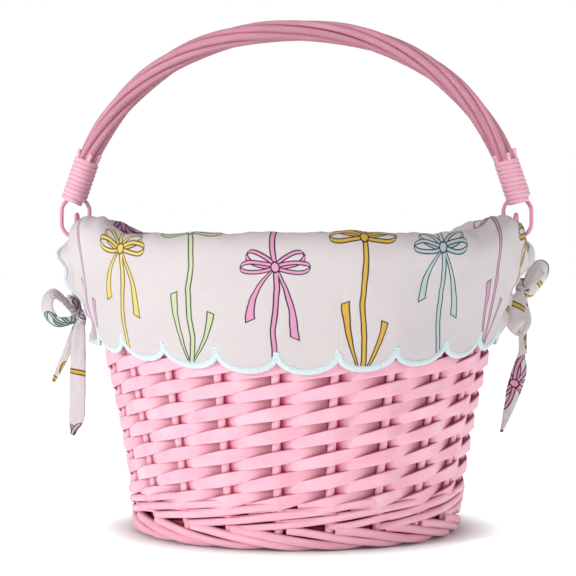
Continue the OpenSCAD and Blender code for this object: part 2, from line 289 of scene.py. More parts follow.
class Value:
    """A number in a shader tree, with arithmetic that adds Math nodes."""

    def __init__(self, tree, socket):
        self.tree = tree
        self.socket = socket

    def math(self, operation, *others):
        node = self.tree.nodes.new("ShaderNodeMath")
        node.operation = operation
        self.tree.links.new(self.socket, node.inputs[0])
        for place, other in enumerate(others, 1):
            if isinstance(other, Value):
                self.tree.links.new(other.socket, node.inputs[place])
            else:
                node.inputs[place].default_value = other
        return Value(self.tree, node.outputs[0])

    def __add__(self, other):
        return self.math("ADD", other)

    def __sub__(self, other):
        return self.math("SUBTRACT", other)

    def __mul__(self, other):
        return self.math("MULTIPLY", other)

    def __truediv__(self, other):
        return self.math("DIVIDE", other)

    def __abs__(self):
        return self.math("ABSOLUTE")

    def min(self, other):
        return self.math("MINIMUM", other)

    def max(self, other):
        return self.math("MAXIMUM", other)

    def sin(self):
        return self.math("SINE")

    def floor(self):
        return self.math("FLOOR")

    def ramp(self, start, end, first, last):
        """Goes from first to last while the value goes from start to end, and is level outside them."""
        node = self.tree.nodes.new("ShaderNodeMapRange")
        self.tree.links.new(self.socket, node.inputs["Value"])
        for name, value in (("From Min", start), ("From Max", end), ("To Min", first), ("To Max", last)):
            node.inputs[name].default_value = value
        return Value(self.tree, node.outputs["Result"])

    def below(self, edge, soft):
        """1 where the value is under an edge, 0 above it, with a soft step between."""
        return self.ramp(edge - soft, edge + soft, 1.0, 0.0)


def length_of(x, y):
    return (x * x + y * y).math("SQRT")


class Material:
    """A Principled material under construction."""

    def __init__(self, name, roughness=0.5, specular=0.5, sheen=0.0):
        self.material = bpy.data.materials.new(name)
        self.material.use_nodes = True
        self.tree = self.material.node_tree
        self.shader = self.tree.nodes["Principled BSDF"]
        self.shader.inputs["Roughness"].default_value = roughness
        self.shader.inputs["Specular IOR Level"].default_value = specular
        self.shader.inputs["Sheen Weight"].default_value = sheen

    def node(self, kind):
        return self.tree.nodes.new(kind)

    def link(self, a, b):
        self.tree.links.new(a, b)

    def uv(self):
        """U and V of the surface, in metres."""
        coords = self.node("ShaderNodeUVMap")
        coords.uv_map = "UVMap"
        return coords.outputs["UV"]

    def split(self, vector):
        parts = self.node("ShaderNodeSeparateXYZ")
        self.link(vector, parts.inputs[0])
        return [Value(self.tree, parts.outputs[k]) for k in range(3)]

    def stretched(self, vector, scale):
        mapping = self.node("ShaderNodeMapping")
        mapping.inputs["Scale"].default_value = scale
        self.link(vector, mapping.inputs["Vector"])
        return mapping.outputs[0]

    def noise(self, vector, scale, detail=3.0, roughness=0.5):
        texture = self.node("ShaderNodeTexNoise")
        texture.inputs["Scale"].default_value = scale
        texture.inputs["Detail"].default_value = detail
        texture.inputs["Roughness"].default_value = roughness
        self.link(vector, texture.inputs["Vector"])
        return Value(self.tree, texture.outputs["Fac"])

    def attribute(self, name):
        node = self.node("ShaderNodeAttribute")
        node.attribute_name = name
        return Value(self.tree, node.outputs["Fac"])

    def mix(self, factor, a, b):
        """Colour a where the factor is 0 and b where it is 1."""
        node = self.node("ShaderNodeMix")
        node.data_type = "RGBA"
        self.link(factor.socket, node.inputs["Factor"])
        for name, colour in (("A", a), ("B", b)):
            target = [s for s in node.inputs if s.name == name and s.type == "RGBA"][0]
            if isinstance(colour, tuple):
                target.default_value = colour
            else:
                self.link(colour, target)
        return [s for s in node.outputs if s.type == "RGBA"][0]

    def colour(self, socket):
        self.link(socket, self.shader.inputs["Base Color"])

    def roughness(self, value):
        self.link(value.socket, self.shader.inputs["Roughness"])

    def bump(self, height, distance):
        node = self.node("ShaderNodeBump")
        node.inputs["Distance"].default_value = distance
        self.link(height.socket, node.inputs["Height"])
        self.link(node.outputs[0], self.shader.inputs["Normal"])


def vector_of(material, x, y, z):
    node = material.node("ShaderNodeCombineXYZ")
    for place, value in enumerate((x, y, z)):
        material.link(value.socket, node.inputs[place])
    return node.outputs[0]


WOOD = srgb(205, 168, 130)


def painted_rod(name, light, dark, painted_shade_colour=None, relief=0.3 * MM):
    """Painted willow: thin paint over grain, with a few bare specks. A rod made here gets painted shade, a
    dark colour for the shadow in the hollows of the weave, and its grain runs along it. A CAD node has
    neither."""
    m = Material(name, specular=0.35)
    if painted_shade_colour:
        u, v, _ = m.split(m.uv())
        tint = m.attribute("tint")
        place = vector_of(m, u, v, tint)
        grain = (45, 550, 40)
    else:
        place = m.node("ShaderNodeTexCoord").outputs["Object"]
        grain = (300, 300, 300)
    streaks = m.noise(m.stretched(place, grain), 1.0, 2.0, 0.5)
    patches = m.noise(m.stretched(place, (60, 60, 7)), 1.0, 2.0)
    speck = m.noise(m.stretched(place, (420, 700, 11)), 1.0, 1.0)
    shade = streaks * 0.55 + patches * 0.45
    if painted_shade_colour:
        shade = shade + (tint - 0.5) * 0.22
    paint = m.mix((shade - 0.3) * 2.2, light, dark)
    paint = m.mix((speck * -1.0).below(-0.775, 0.01), paint, WOOD)
    if painted_shade_colour:
        # Painted shade: the dark colour mixed in here stands in for the shadow in the hollows of the weave
        paint = m.mix(m.attribute("painted_shade"), paint, painted_shade_colour)
    m.colour(paint)
    m.roughness(streaks * 0.25 + 0.36)
    m.bump(streaks * 0.8 + patches * 0.6, relief)
    return m.material


# The third colour of each paint below that has one is painted shade for the hollows of the weave
WICKER = painted_rod("wicker_paint", srgb(243, 187, 203), srgb(232, 157, 179), srgb(170, 20, 76))
HANDLE_PAINT = painted_rod("handle_paint", srgb(214, 149, 167), srgb(194, 127, 145), srgb(112, 34, 58),
                           0.12 * MM)
BINDING_PAINT = painted_rod("binding_paint", srgb(246, 187, 205), srgb(234, 168, 188), srgb(150, 60, 90),
                            0.2 * MM)
SMALL_ROD = painted_rod("link_paint", srgb(232, 162, 182), srgb(212, 138, 160))
STICK = painted_rod("stick_paint", srgb(246, 178, 200), srgb(232, 152, 180))


# ------------ printed cotton
COLUMN_PITCH = 52.5 * MM
COLUMN_SHIFT = 13.3 * MM
FIRST_COLUMN = -3
# The drawing, in mm round the middle of a bow. Each column repeats it, and in every second column its
# tails rise.
MOTIF_HEIGHT = 120.0
MOTIF_TOP = 24.0
OUTLINE = 0.42
SOFT_EDGE = 0.15
STEM_HALF = 1.45
# Side, length, spread and half width of a tail
HANGING_TAILS = ((-1, 28, 15, 1.6), (1, 41, 12, 1.6))
RISING_TAILS = ((-1, 49, 10, 1.9), (1, 37, 13, 1.9))
RISING_FOOT = 87
# Length, bulge, turn and half width of a loop
LOOPS = ((19.0, 6.6, -0.5, 1.15), (20.5, 6.2, -0.02, 1.25))
KNOT_HALF = (2.6, 3.4)
OUT_OF_SIGHT = 50.0
DROP_RANGE = 140.0
# Fill, outline and how far the bow sits below the fold, in mm, for each column of the print
PRINT_COLUMNS = [
    (srgb(205, 165, 192), srgb(140, 100, 130), -9),
    (srgb(240, 206, 112), srgb(84, 74, 44), 10),
    (srgb(206, 212, 174), srgb(72, 82, 58), -2),
    (srgb(226, 154, 190), srgb(60, 30, 54), 23),
    (srgb(220, 174, 72), srgb(62, 50, 24), 4),
    (srgb(188, 204, 210), srgb(48, 58, 68), 10),
    (srgb(214, 150, 188), srgb(86, 54, 78), -9),
    (srgb(206, 164, 78), srgb(66, 50, 26), 10),
    (srgb(204, 196, 212), srgb(150, 138, 158), 3),
]
# The ties are cut from another part of the same cloth
TIE_COLUMNS = [
    (srgb(214, 170, 70), srgb(60, 50, 26), 10),
    (srgb(210, 164, 192), srgb(40, 58, 66), 0),
    (srgb(140, 176, 174), srgb(34, 50, 56), 0),
    (srgb(222, 208, 216), srgb(176, 160, 172), 0),
    (srgb(226, 156, 192), srgb(56, 34, 50), 0),
]


def column_ramp(m, place, values):
    """Picks one of the columns' values by a place from 0 to 1."""
    ramp = m.node("ShaderNodeValToRGB")
    ramp.color_ramp.interpolation = "CONSTANT"
    elements = ramp.color_ramp.elements
    while len(elements) < len(values):
        elements.new(1.0)
    for k, value in enumerate(values):
        elements[k].position = k / len(values)
        elements[k].color = value
    m.link(place.socket, ramp.inputs[0])
    return ramp.outputs["Color"]


def ribbon_loop(x, y, length, bulge, turn, half_width):
    """Distance to a ribbon that loops out from the knot and back, negative inside it, in mm."""
    cos, sin = math.cos(turn), math.sin(turn)
    along = (x * cos + y * sin) / length
    across = y * cos - x * sin
    t = along.max(0.0).min(1.0)
    half = t.math("POWER", 0.75) * (t * t * -1.0 + 1.0).math("SQRT") * bulge
    side = abs(abs(across) - half) - half_width
    return side.max(along * -length).max((along - 1.0) * length)


def hanging_tail(x, y, side, length, spread, tip_half):
    """Distance to a tail that falls from the knot and swings out to one side."""
    t = y / length
    middle = (t * 1.7 - t * t * 0.75) * (spread * side)
    half = t * tip_half + 0.7
    cut = (y - x * (0.5 * side) - length).max(y * -1.0)
    return (abs(x - middle) - half).max(cut)


def rising_tail(x, y, side, length, spread, tip_half):
    """Distance to a tail that rises from a crossing at the foot of a column."""
    t = (y * -1.0 + RISING_FOOT) / length
    middle = (t * 1.8 - t * t * 0.9) * (spread * side) + 2.0 * side
    half = t * tip_half + 0.6
    cut = ((t - 1.0) * length + x * (0.4 * side)).max(t * -length)
    return (abs(x - middle) - half).max(cut)


def bow_print(m, cloth, columns):
    """Draws columns of ribbons tied in bows on the cloth colour."""
    u, v, _ = m.split(m.uv())
    u = u + COLUMN_SHIFT
    column = (u / COLUMN_PITCH + 0.5).floor()
    x = (u - column * COLUMN_PITCH) / MM
    number = column - FIRST_COLUMN
    place = number / len(columns)
    place = place - place.floor() + 0.5 / len(columns)
    odd = number / 2.0
    odd = (odd - odd.floor()) * 2.0
    drops = [((d / DROP_RANGE + 0.5),) * 3 + (1.0,) for _, _, d in columns]
    drop = (m.split(column_ramp(m, place, drops))[0] - 0.5) * DROP_RANGE
    y = v / MM - drop + MOTIF_TOP
    repeats = (y / MOTIF_HEIGHT).floor()
    y = y - repeats * MOTIF_HEIGHT - MOTIF_TOP
    x = x + (m.noise(m.uv(), 60.0, 1.0) * 2.4 - 1.2)
    stem = abs(x - (y * (2 * math.pi / 60)).sin() * 1.1) - STEM_HALF
    left, right = [hanging_tail(x, y, *tail) for tail in HANGING_TAILS]
    hanging = left.min(right) + (odd * -OUT_OF_SIGHT + OUT_OF_SIGHT)
    left, right = [rising_tail(x, y, *tail) for tail in RISING_TAILS]
    rising = left.min(right) + odd * OUT_OF_SIGHT
    side_x = abs(x + y * 0.05)
    high_loop, low_loop = [ribbon_loop(side_x, y, *loop) for loop in LOOPS]
    knot = (length_of(x / KNOT_HALF[0], y / KNOT_HALF[1]) - 1.0) * KNOT_HALF[0]
    fill = column_ramp(m, place, [c[0] for c in columns])
    line = column_ramp(m, place, [c[1] for c in columns])
    colour = cloth
    for shape in (stem.min(hanging).min(rising), high_loop, low_loop, knot):
        colour = m.mix(shape.below(OUTLINE, SOFT_EDGE), colour, line)
        colour = m.mix(shape.below(-OUTLINE, SOFT_EDGE), colour, fill)
    return colour


THREAD = 0.7 * MM


def printed_cotton(name, columns):
    """Plain-weave cotton with columns of the print on it."""
    m = Material(name, roughness=0.85, specular=0.2, sheen=0.15)
    u, v, _ = m.split(m.uv())
    slub = m.noise(m.stretched(m.uv(), (30, 700, 1)), 1.0, 3.0, 0.6)
    soft = m.noise(m.uv(), 25.0, 3.0)
    cloth = m.mix(slub * 0.5 + soft * 0.5, srgb(226, 214, 216), srgb(214, 200, 203))
    thread = 2 * math.pi / THREAD
    weave = (u * thread).sin() * (v * thread).sin()
    m.colour(bow_print(m, cloth, columns))
    m.bump(weave * 0.5 + slub * 1.2 + soft * 2.0, 0.25 * MM)
    return m.material


STITCH = 1.7 * MM


def overlock_thread(name):
    """Pale blue thread in slanted stitches."""
    m = Material(name, roughness=0.8, specular=0.25, sheen=0.2)
    u, v, _ = m.split(m.uv())
    stitch = ((u * (2 * math.pi / STITCH) + v * 900.0).sin() + 1.0) * 0.5
    fuzz = m.noise(m.uv(), 2500.0, 2.0)
    m.colour(m.mix(stitch * 0.6 + fuzz * 0.4, srgb(194, 207, 214), srgb(219, 227, 231)))
    m.bump(stitch + fuzz * 0.6, 0.3 * MM)
    return m.material


COTTON = printed_cotton("bow_print_cotton", PRINT_COLUMNS)
TIE_COTTON = printed_cotton("tie_print_cotton", TIE_COLUMNS)
EDGING = overlock_thread("overlock_thread")


def set_material(obj, material):
    obj.data.materials.clear()
    obj.data.materials.append(material)


def finish_piece(obj, material, body, node):
    """Gives a piece its material and its body, and hides the CAD node that it stands for."""
    set_material(obj, material)
    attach(obj, body)
    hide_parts(node)
    return obj


# ------------ the woven wall
STEPS_PAST_STAKE = [0, 0.025, 0.06, 0.12, 0.2, 0.3, 0.4, 0.5, 0.6, 0.7, 0.8, 0.88, 0.94, 0.975]
WEAVER_START = -0.62
# The outer face of a strand leans down a little
STRAND_LEAN = -0.12


def strand_wave(past_stake):
    """From -1 behind a stake to 1 over the next and back: it springs out quickly and goes in evenly."""
    going_out = 2 * np.minimum(past_stake, 1) ** 0.5 - 1
    going_in = 3 - 2 * past_stake
    return np.minimum(going_out, going_in)


def weaver(k):
    """Strand k: over one stake, behind the next, climbing all the way round. m counts the stakes passed."""
    m = (np.arange(-1, STAKES)[:, None] + np.array(STEPS_PAST_STAKE)[None, :]).ravel()
    m = m[(m > WEAVER_START) & (m < WEAVER_PASSES)]
    past_stake = (m - 1) % 2
    angle = STAKE_PHASE + PITCH * (k + m)
    z = WEAVE_START_Z + WEAVER_CLIMB * m + ripple(k, m, 2.3) * 0.5 * MM
    r = wall_r(z) - STAKE_INSET + STRAND_SWING * strand_wave(past_stake) + ripple(k + 40, m, 1.1) * 0.25 * MM
    over = 0.5 + 0.5 * np.cos(2 * math.pi * m)
    height = STRAND_H * (0.86 + 0.14 * over) * (1 + 0.05 * ripple(k + 80, m, 3.1))
    thick = STRAND_T * (1 + 0.08 * ripple(k + 120, m, 2.7))
    out = polar(1.0, angle, STRAND_LEAN + ripple(k + 160, m, 1.7) * 0.16)
    tint = 0.5 + 0.5 * float(ripple(k * 3 + 7, [0.37], 1.0)[0])
    # Painted shade: dark where the strand comes out from behind a stake, in that stake's shadow, where it
    # goes in behind the next, and on its inner side
    going_behind = 0.5 * smoothstep(1.45, 1.85, past_stake) + 0.5 * smoothstep(1.87, 1.97, past_stake)
    painted_shade = np.maximum(smoothstep(0.24, 0.13, past_stake), going_behind)
    return rod(f"weave_strand_{k:02d}", polar(r, angle, z), unit(out), thick / 2, height / 2, flat_section(),
               tint=tint, painted_shade=painted_shade, inside_shade=0.85, sides=STRAND_SIDES)


for number in range(1, STAKES + 1):
    finish_piece(weaver(number), WICKER, "basket", f"weaver_{number:02d}")


GOLDEN = 0.618


def stake(k):
    """An upright stake that tapers from the foot to the rim."""
    z = np.linspace(FOOT_H - 4 * MM, RIM_LOW_Z + 5 * MM, 36)
    sway = ripple(k + 300, z, 0.06) * 0.5 * MM
    angle = STAKE_PHASE + PITCH * k + sway / WALL_FOOT_R
    r = wall_r(z) - STAKE_INSET
    taper = 1.06 - 0.1 * (z - FOOT_H) / RIM_Z
    # Painted shade on the stake's inner side
    return rod(f"stake_{k}", polar(r, angle, z), polar(1.0, angle, 0.0), STAKE_HALF_OUT * taper,
               STAKE_HALF_SIDE * taper, round_section(12), tint=k * GOLDEN % 1, inside_shade=0.8)


stakes = join("side_stake_rods", [stake(k) for k in range(STAKES)])
finish_piece(stakes, WICKER, "basket", "side_stakes")


WALE_RODS = 3
WALE_ROUNDS = 2
WALE_START_Z = FOOT_H + 3.4 * MM
WALE_CLIMB = 6.4 * MM
WALE_SLANT = 12.5 * MM
WALE_HALF = 2.25 * MM
WALE_BEHIND = 5 / 6
STEPS_PER_STAKE = 12


def wale_rod(k):
    """A waling rod: over two stakes and behind one, twice round. phase is its place in those three."""
    m = np.linspace(0, WALE_ROUNDS * STAKES, WALE_ROUNDS * STAKES * STEPS_PER_STAKE)
    first = k * STAKES / WALE_RODS
    angle = STAKE_PHASE + PITCH * (m + first)
    phase = ((m + first - k) / 3) % 1.0
    behind = hump((phase - WALE_BEHIND + 0.5) % 1.0, 0.5, 0.15)
    slant = (phase - 1 / 3) * (1 - behind)
    z = WALE_START_Z + WALE_CLIMB * m / STAKES + WALE_SLANT * slant + ripple(k + 400, m, 1.3) * 1.7 * MM
    r = wall_r(z) - STAKE_INSET + STRAND_SWING * (1 - 2 * behind) + 1.6 * MM * (phase - 0.5) * (1 - behind)
    half = WALE_HALF * (1 + 0.16 * ripple(k + 410, m, 2.5))
    # Painted shade where the rod goes behind a stake, and on its inner side
    return rod(f"waling_rod_{k + 1}", polar(r, angle, z), polar(1.0, angle, 0.0), half * 0.85, half * 1.15,
               round_section(12, 3.0), tint=0.3 + 0.2 * k, painted_shade=smoothstep(0.1, 0.8, behind), inside_shade=0.9,
               sides=WALE_SIDES)


for number in range(WALE_RODS):
    finish_piece(wale_rod(number), WICKER, "basket", f"wale_rod_{number + 1}")


# A foot rod's route: stakes passed, how far inside the foot and how high, in mm
FOOT_ROUTE = [
    (0.1, 3.6, 14.0), (0.5, 2.9, 12.3), (1.1, 2.9, 8.6), (1.7, 3.4, 5.2), (2.3, 6.2, 3.2), (2.9, 10.0, 4.2),
]


def foot_rod(k):
    """One rod of the rolled foot border: from under the waling, out, down and under to the right."""
    count = 36
    route = [(passed, FOOT_R - inside * MM, height * MM) for passed, inside, height in FOOT_ROUTE]
    passed, r, z = smooth_path(route, count).T
    start = 0.22 * float(ripple(k + 520, [0.5], 0.77)[0])
    angle = STAKE_PHASE + PITCH * (k + passed + start)
    half = np.linspace(3.1, 2.4, count) * MM * (1 + 0.08 * math.sin(k * 2.4))
    z = np.maximum(z + ripple(k + 500, passed, 0.9) * 0.5 * MM, half + 0.02 * MM)
    # Painted shade on the rod's inner side
    return rod(f"foot_rod_{k}", polar(r, angle, z), polar(1.0, angle, 0.0), half, half,
               round_section(14, 2.6), tint=k * GOLDEN % 1, inside_shade=0.9, sides=FOOT_SIDES)


# Core rods are hidden inside the foot border and the handle, and are coloured mostly in painted shade
CORE_HEIGHTS = (3.4 * MM, 8.6 * MM, 13.4 * MM)
CORE_R = FOOT_R - 9.5 * MM
CORE_HALF = 2.6 * MM


def foot_core(number, z):
    """A rod that runs right round inside the border."""
    angle = np.linspace(0, 2 * math.pi, 160, endpoint=False)
    path = polar(CORE_R + 0.3 * MM * np.sin(angle * 21 + number), angle, z + 0.3 * MM * np.sin(angle * 13))
    return rod(f"foot_core_{number}", path, polar(1.0, angle, 0.0), CORE_HALF, CORE_HALF, round_section(10),
               closed=True, tint=0.2, painted_shade=0.9)


foot_pieces = [foot_rod(k) for k in range(STAKES)]
foot_pieces += [foot_core(number, z) for number, z in enumerate(CORE_HEIGHTS, 1)]
finish_piece(join("foot_border_rods", foot_pieces), WICKER, "basket", "foot_border")


def rim_rod(k):
    """One rod of the rim border, laid down behind and in front of its neighbours."""
    count = 40
    passed = np.linspace(-0.1, 3.1, count)
    turn = passed * math.pi / 1.5
    r = RIM_R - 5.6 * MM + 3.1 * MM * np.cos(turn)
    z = RIM_Z - 6.4 * MM + 3.2 * MM * np.sin(turn)
    angle = STAKE_PHASE + PITCH * (k + passed)
    half = np.linspace(2.7, 2.2, count) * MM
    return rod(f"rim_rod_{k}", polar(r, angle, z), polar(1.0, angle, 0.0), half, half, round_section(10),
               tint=k * GOLDEN % 1)


rim = join("rim_border_rods", [rim_rod(k) for k in range(STAKES)])
finish_piece(rim, WICKER, "basket", "rim_border")


BASE_RINGS = 16
BASE_R = high("base_weave").x
BASE_Z = centre_of("base_weave")[2]


def base_ring(k):
    """One round of the woven base, over and under the base sticks."""
    r = (BASE_R - 3 * MM) * (k + 0.6) / BASE_RINGS
    angle = np.linspace(0, 2 * math.pi, max(24, int(r / MM * 2.2)), endpoint=False)
    z = BASE_Z + 0.6 * MM * np.sin(angle * (2 * k + 5) + k * math.pi)
    half = BASE_R / BASE_RINGS / 2
    return rod(f"base_ring_{k}", polar(r, angle, z), polar(1.0, angle, 0.0), half, 1.6 * MM, round_section(8),
               closed=True, tint=k * GOLDEN % 1)


base = join("base_weave_rods", [base_ring(k) for k in range(BASE_RINGS)])
finish_piece(base, WICKER, "basket", "base_weave")
for name in ("base_sticks_lower", "base_sticks_upper"):
    set_material(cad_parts[name], STICK)
for name in ("rim_loop_left", "rim_loop_right", "handle_ring_left", "handle_ring_right"):
    set_material(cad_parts[name], SMALL_ROD)


# ------------ the handle
HANDLE_END_Z = WRAP_LOW.z + 7 * MM
HANDLE_END = math.acos(((HANDLE_END_Z - HANDLE_MID_Z) / HANDLE_RISE) ** (HANDLE_SQUARE / 2))


def arch(u):
    """Points on the handle's centre line, at angles from its top."""
    x = HANDLE_HALF_SPAN * signed_power(np.sin(u), 2 / HANDLE_SQUARE)
    z = HANDLE_MID_Z + HANDLE_RISE * np.cos(u) ** (2 / HANDLE_SQUARE)
    return np.stack([x, 0 * u, z], axis=-1)


def arch_out(u):
    """The outward direction at the same places."""
    power = 2 - 2 / HANDLE_SQUARE
    x = HANDLE_RISE * signed_power(np.sin(u), power)
    z = HANDLE_HALF_SPAN * np.cos(u) ** power
    return unit(np.stack([x, 0 * u, z], axis=-1))


def handle_strand(k):
    """Strand k of the twist, from the top edge round the front to the bottom edge as it goes right."""
    count = 150
    s = np.linspace(0, 1, count)
    u = HANDLE_END * (2 * s - 1)
    turn = math.radians(60 * k) + 2 * math.pi * HANDLE_TURNS * s + ripple(k + 600, s, 0.22) * 0.1
    out = arch_out(u)
    away = np.cos(turn)[:, None] * out + np.sin(turn)[:, None] * FRONT
    half = HANDLE_STRAND_R * (1 + 0.07 * ripple(k + 620, s, 0.17) + 0.05 * math.sin(k * 2.1))
    path = arch(u) + away * (2 * HANDLE_STRAND_R + ripple(k + 640, s, 0.2) * 0.25 * MM)[:, None]
    # Painted shade on each strand's inner side, in the crevices between the strands
    return rod(f"handle_rod_{k}", path, away, half, half * 1.06, round_section(12), tint=k * GOLDEN % 1,
               inside_shade=1.0)


for number in range(1, 7):
    finish_piece(handle_strand(number), HANDLE_PAINT, "handle", f"handle_strand_{number}")
arch_angle = np.linspace(-HANDLE_END, HANDLE_END, 80)
# The handle's core rod is coloured wholly in painted shade
core = rod("handle_core_rod", arch(arch_angle), arch_out(arch_angle), CORE_HALF, CORE_HALF, round_section(10),
           painted_shade=1.0)
finish_piece(core, HANDLE_PAINT, "handle", "handle_core")

WRAP_LEAN = math.radians(19)
WRAP_LENGTH = 33 * MM
WRAP_TURNS = 10
WRAP_R = 9 * MM
WRAP_ROD_HALF = 1.75 * MM
# The cut rods that stick out of its top: their place round it, in degrees, and how high they end, in mm
WRAP_ENDS = ((20, 21.0), (75, 19.5), (150, 20.5), (250, 20.0))


def handle_wrap(side, name):
    """The rod wound round one end of the handle, and the cut ends of the rods that it holds."""
    middle = centre_of(f"handle_wrap_{name}")
    axis = np.array([-side * math.sin(WRAP_LEAN), 0, math.cos(WRAP_LEAN)])
    across = np.array([math.cos(WRAP_LEAN), 0, side * math.sin(WRAP_LEAN)])
    t = np.linspace(0, 1, WRAP_TURNS * 26)
    turn = 2 * math.pi * WRAP_TURNS * t
    pitch = WRAP_LENGTH / (WRAP_TURNS + 0.8)
    along = (t - 0.5) * pitch * WRAP_TURNS + ripple(side + 700, t * WRAP_TURNS, 1.3) * 0.25 * MM
    tucked = 1 - smoothstep(0, 0.025, t) * (1 - smoothstep(0.975, 1, t))
    r = WRAP_R - WRAP_ROD_HALF - 2.2 * MM * tucked + ripple(side + 720, t * WRAP_TURNS, 0.9) * 0.15 * MM
    away = np.cos(turn)[:, None] * across + np.sin(turn)[:, None] * FRONT
    path = middle + along[:, None] * axis + r[:, None] * away
    # Painted shade on the inner side of the coil and of the cut ends
    pieces = [rod("coil", path, away, 1.55 * MM, WRAP_ROD_HALF, round_section(10, 2.3), tint=0.6,
                  inside_shade=0.9)]
    for k, (degrees, top) in enumerate(WRAP_ENDS):
        turn = math.radians(degrees)
        away = math.cos(turn) * across + math.sin(turn) * FRONT
        route = ((10, 6.6), (15, 7.2), (top, 8.2))
        places = [middle + (up * axis + reach * away) * MM for up, reach in route]
        pieces.append(rod(f"end_{k}", smooth_path(places, 9), away, 1.4 * MM, 1.5 * MM, round_section(10),
                          tint=0.3 * k, inside_shade=0.5))
    return join(f"handle_binding_{name}", pieces)


for side, name in ((-1, "left"), (1, "right")):
    finish_piece(handle_wrap(side, name), BINDING_PAINT, "handle", f"handle_wrap_{name}")


# ------------ the liner
SCALLOP_DEPTH = 12.5 * MM
CUSP_Z = CUFF_LOW_Z + EDGING_W / 2 + SCALLOP_DEPTH
SCALLOP_ANGLE = math.radians(16.2)
FIRST_CUSP = math.radians(-5.4)
CUFF_HALF = math.radians(85.5)
CUFF_CURL = math.radians(77)
PRINT_R = 149 * MM
CLOTH_T = 0.9 * MM
CREST_R = RIM_R - 1.5 * MM
SHOULDER_R = RIM_R + 3.8 * MM
# The cloth puffs up beside each knot: between which degrees from the middle it rises and falls, and how far
PUFF_RISE = (46, 64)
PUFF_FALL = (70, 82)
PUFF_UP = 10.5 * MM
PUFF_OUT = 1.5 * MM
TOP_WOBBLE = 2.4 * MM


def scallop_columns(per_scallop=18):
    """Places along the cuff, as angles from its middle, closer together towards each cusp of the hem."""
    step = (1 - np.cos(math.pi * np.arange(per_scallop) / per_scallop)) / 2
    angles = (FIRST_CUSP + SCALLOP_ANGLE * (np.arange(-7, 7)[:, None] + step[None, :])).ravel()
    inner = angles[np.abs(angles) < CUFF_CURL]
    end = np.linspace(CUFF_CURL, CUFF_HALF, 12)
    return np.concatenate([-end[::-1], inner, end])


def hem_z(angle):
    """Height of the scalloped hem, lower in the middle and higher towards the handles."""
    across = 2 * (((angle - FIRST_CUSP) / SCALLOP_ANGLE) % 1.0) - 1
    sag = (-5 + 13 * np.sin(angle) ** 2) * MM
    return CUSP_Z + sag - SCALLOP_DEPTH * np.maximum(0, 1 - across**2) ** 0.43


def cuff_section(hem, rows):
    """Radius and height from the bag, over the rim and down to the hem, for every column at once."""
    in_r = BAG_R - 1.2 * MM
    mid_z = hem + (RIM_Z - hem) * 0.38
    high_z = hem + (RIM_Z - hem) * 0.7
    corners = [
        (in_r, RIM_Z - 1 * MM),
        (in_r + 0.8 * MM, CUFF_TOP_Z - 3.4 * MM),
        (in_r + 6 * MM, CUFF_TOP_Z - 0.6 * MM),
        (CREST_R, CUFF_TOP_Z - 1.2 * MM),
        (RIM_R + 3.2 * MM, CUFF_TOP_Z - 6 * MM),
        (SHOULDER_R, CUFF_TOP_Z - 14 * MM),
        (wall_r(high_z) + 4.4 * MM, high_z),
        (wall_r(mid_z) + 3.2 * MM, mid_z),
        (wall_r(hem) + 2.4 * MM, hem),
    ]
    path = smooth_path([np.concatenate([r + 0 * hem, z + 0 * hem]) for r, z in corners], rows)
    return path[:, : len(hem)], path[:, len(hem) :]


def gathering(nominal, z, sign, knot_height, flare_height, seed):
    """How far the gathers, the flare and the frill at one end of the cuff bring the cloth out."""
    away = np.degrees(np.abs(nominal))
    from_end = (CUFF_HALF - np.abs(nominal)) * PRINT_R
    from_knot = np.hypot(from_end, z - knot_height)
    round_knot = np.arctan2(z - knot_height, from_end)
    folds = 3.4 * np.sin(9 * round_knot + seed) * np.exp(-from_knot / (26 * MM))
    folds += 1.8 * np.sin(5 * round_knot + 1) * np.exp(-from_knot / (60 * MM))
    folds *= smoothstep(2 * MM, 12 * MM, from_knot)
    dip = 3.5 * hump(from_knot, 0, 13 * MM)
    flare = 1.2 * smoothstep(62, 80, away) + 3.0 * smoothstep(80.5, 85.5, away)
    flare = flare * hump(z, flare_height, 17 * MM) + 2.5 * smoothstep(81, 85.5, away)
    frill = 1.8 * smoothstep(74, 85, away) * np.sin(z / (3.2 * MM) + sign)
    frill *= 1 - np.exp(-from_knot / (14 * MM))
    return (folds - dip + flare + frill) * MM


